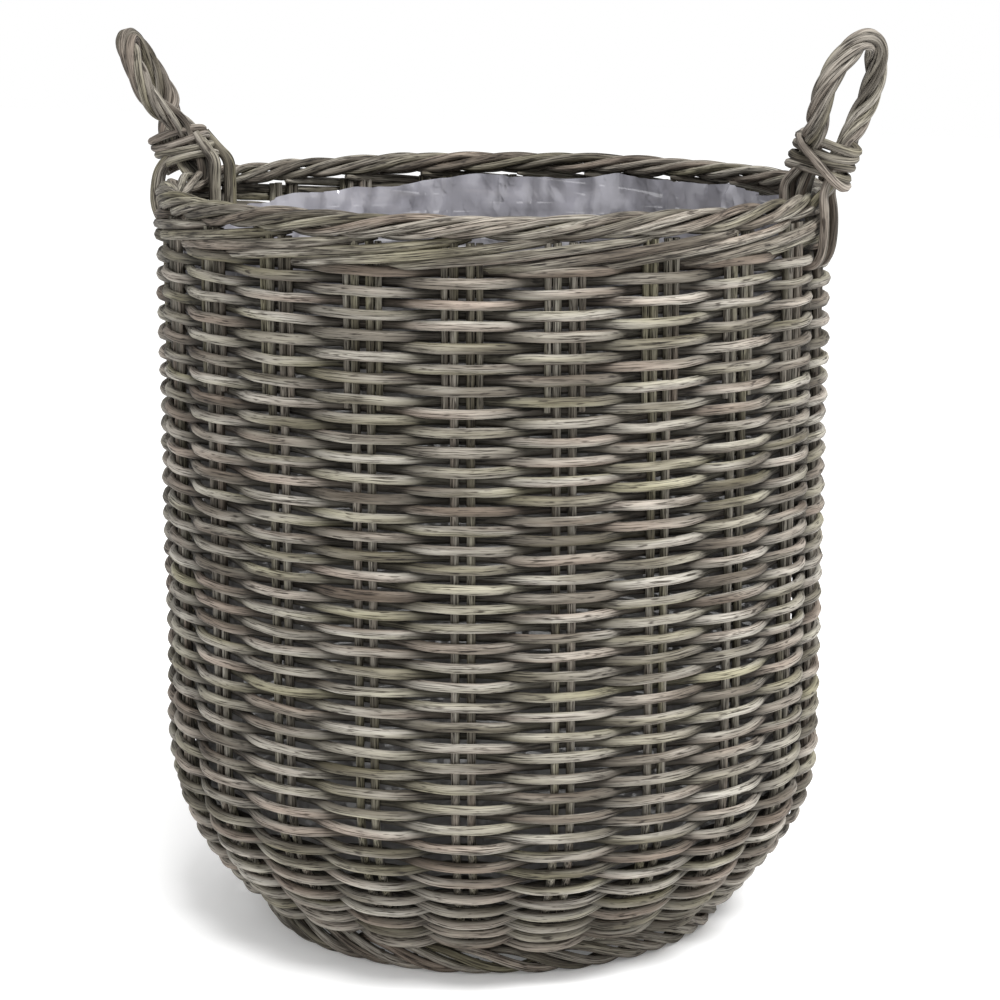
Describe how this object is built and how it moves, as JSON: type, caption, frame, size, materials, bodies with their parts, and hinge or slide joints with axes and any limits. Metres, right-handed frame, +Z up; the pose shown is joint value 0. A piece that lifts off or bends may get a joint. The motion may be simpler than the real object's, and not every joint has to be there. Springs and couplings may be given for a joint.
{
  "type": "log basket",
  "caption": "Round woven cane log basket with a rounded bottom, a rolled border, two upright rope handles and a loose clear film liner.",
  "frame": {"origin": "on the floor at the middle of the foot border", "axes": "+Z up, handles on +X and -X, +Y across them"},
  "size_m": [0.495, 0.4152, 0.5546],
  "materials": {
    "weave_cane": "grey-washed whole rattan, matt, with dark grain",
    "stake_cane": "grey-washed whole rattan, matt, darker inside the weave",
    "border_cane": "grey-washed whole rattan, matt, with lighter outer skin",
    "handle_cane": "grey-washed whole rattan, matt, twisted into rope",
    "liner_film": "thin clear plastic film, crinkled"
  },
  "bodies": {
    "basket": {"base_weave": "weave_cane", "foot_border": "border_cane", "left_handle_tie_1": "handle_cane", "left_handle_tie_2": "handle_cane", "liner": "liner_film", "right_handle_tie_1": "handle_cane", "right_handle_tie_2": "handle_cane", "rolled_border": "border_cane", "shoulder_weave": "weave_cane", "side_weave_1": "weave_cane", "side_weave_2": "weave_cane", "side_weave_3": "weave_cane", "side_weave_4": "weave_cane", "slath_lower_sticks": "stake_cane", "slath_upper_sticks": "stake_cane", "stake_group_01": "stake_cane", "stake_group_02": "stake_cane", "stake_group_03": "stake_cane", "stake_group_04": "stake_cane", "stake_group_05": "stake_cane", "stake_group_06": "stake_cane", "stake_group_07": "stake_cane", "stake_group_08": "stake_cane", "stake_group_09": "stake_cane", "stake_group_10": "stake_cane", "stake_group_11": "stake_cane", "stake_group_12": "stake_cane", "stake_group_13": "stake_cane", "stake_group_14": "stake_cane", "stake_group_15": "stake_cane", "stake_group_16": "stake_cane", "stake_group_17": "stake_cane", "stake_group_18": "stake_cane", "stake_group_19": "stake_cane", "stake_group_20": "stake_cane", "stake_group_21": "stake_cane", "stake_group_22": "stake_cane", "top_wale": "border_cane", "upsett_weave": "weave_cane"},
    "right_handle": {"right_handle_bow": "handle_cane", "right_handle_wraps": "handle_cane"},
    "left_handle": {"left_handle_bow": "handle_cane", "left_handle_wraps": "handle_cane"}
  },
  "joints": [
    {"name": "right_handle_swing", "type": "hinge", "parent": "basket", "child": "right_handle", "pos_m": [0.2, 0, 0.455], "axis": [0, 1, 0], "range_deg": [-25, 10]},
    {"name": "left_handle_swing", "type": "hinge", "parent": "basket", "child": "left_handle", "pos_m": [-0.2, 0, 0.455], "axis": [0, -1, 0], "range_deg": [-25, 10]}
  ]
}
